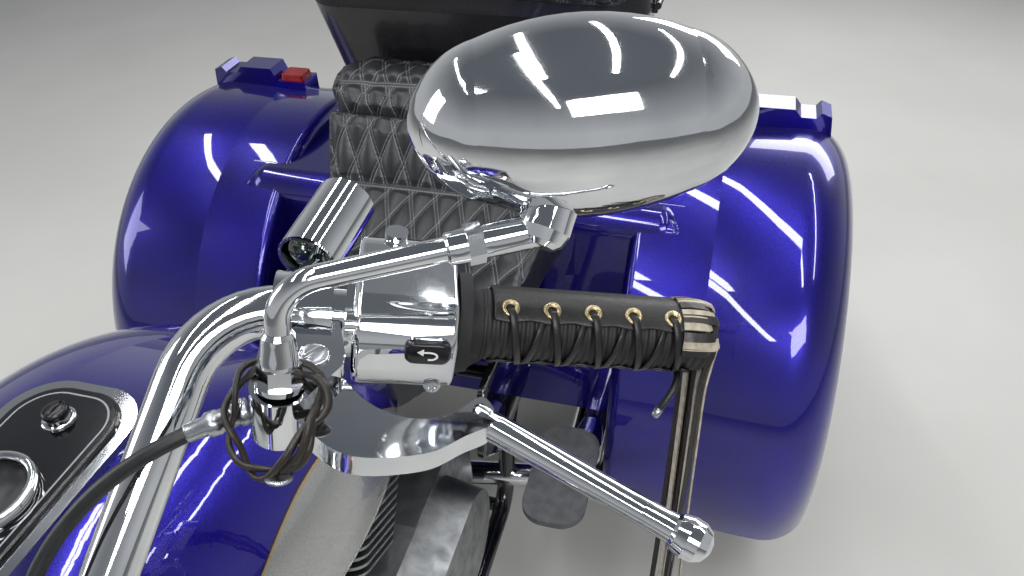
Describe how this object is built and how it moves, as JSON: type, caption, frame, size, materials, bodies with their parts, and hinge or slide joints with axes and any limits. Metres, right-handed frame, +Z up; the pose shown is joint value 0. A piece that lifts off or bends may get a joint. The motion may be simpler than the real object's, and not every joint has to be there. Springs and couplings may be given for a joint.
{
  "type": "three-wheeled touring motorcycle",
  "caption": "Touring cruiser turned into a three-wheeler: steered front wheel, pulled-back handlebar, wide fendered rear body, quilted seat and lidded trunk.",
  "frame": {"origin": "on the floor, under the middle of the whole machine's box", "axes": "+Z up, front towards -Y, rear towards +Y, the rider's left towards +X"},
  "size_m": [1.332, 2.504, 1.3485],
  "materials": {
    "tyre_rubber": "matt",
    "chrome": "polished",
    "trunk_plastic": "satin",
    "violet_paint": "candy gloss",
    "frame_paint": "gloss",
    "engine_alloy": "satin black with bright fin edges",
    "gloss_black": "gloss",
    "seat_leather": "quilted",
    "red_lens": "clear red",
    "plate_paint": "plain",
    "board_rubber": "ribbed",
    "clear_lens": "clear",
    "grip_leather": "laced",
    "polished_alloy": "polished",
    "mirror_glass": "silvered",
    "cable_sheath": "satin",
    "fringe_leather": "soft"
  },
  "bodies": {
    "front_wheel": {"front_tyre": "tyre_rubber", "front_rim": "chrome"},
    "rear_wheel_left": {"rear_tyre_left": "tyre_rubber", "rear_rim_left": "chrome"},
    "rear_wheel_right": {"rear_tyre_right": "tyre_rubber", "rear_rim_right": "chrome"},
    "trunk_lid": {"tour_trunk_lid": "trunk_plastic", "backrest_pad": "seat_leather"},
    "hatch": {"rear_hatch": "violet_paint"},
    "steering": {"fork_tubes": "chrome", "fork_sliders": "chrome", "triple_clamps": "chrome", "front_fender": "violet_paint", "headlamp": "chrome", "headlamp_lens": "clear_lens", "turn_signals": "chrome", "handlebar": "chrome", "grips": "grip_leather", "switch_housings": "chrome", "lever_perches": "polished_alloy", "levers": "polished_alloy", "mirror_stems": "chrome", "mirror_shells": "chrome", "mirror_glasses": "mirror_glass", "accessory_lamp": "chrome", "clutch_cable": "cable_sheath", "grip_fringes": "fringe_leather"},
    "chassis": {"air_cleaner": "chrome", "console_trim": "chrome", "crankcase": "engine_alloy", "cylinders": "engine_alloy", "exhaust": "chrome", "foot_pedals": "chrome", "footboards": "board_rubber", "frame": "frame_paint", "fuel_tank": "violet_paint", "number_plate": "plate_paint", "pillion_seat": "seat_leather", "rear_axle": "frame_paint", "rear_body": "violet_paint", "rear_fenders": "violet_paint", "rider_seat": "seat_leather", "side_covers": "gloss_black", "tail_lamps": "red_lens", "tank_console": "gloss_black", "tour_trunk": "trunk_plastic", "trunk_stand": "chrome"}
  },
  "joints": [
    {"name": "steering_head", "type": "hinge", "parent": "chassis", "child": "steering", "pos_m": [0, -1.08, 0], "axis": [0, 0.5299, 0.848], "range_deg": [-35, 35]},
    {"name": "front_wheel_roll", "type": "hinge", "parent": "steering", "child": "front_wheel", "pos_m": [0, -0.93, 0.322], "axis": [1, 0, 0], "continuous": true},
    {"name": "rear_left_roll", "type": "hinge", "parent": "chassis", "child": "rear_wheel_left", "pos_m": [0, 0.79, 0.32], "axis": [1, 0, 0], "continuous": true},
    {"name": "rear_right_roll", "type": "hinge", "parent": "chassis", "child": "rear_wheel_right", "pos_m": [0, 0.79, 0.32], "axis": [1, 0, 0], "continuous": true},
    {"name": "lid_hinge", "type": "hinge", "parent": "chassis", "child": "trunk_lid", "pos_m": [0.309, 0.965, 1], "axis": [0, 1, 0], "range_deg": [0, 80]},
    {"name": "hatch_hinge", "type": "hinge", "parent": "chassis", "child": "hatch", "pos_m": [0, 1.246, 0.664], "axis": [1, 0, 0], "range_deg": [0, 80]}
  ]
}
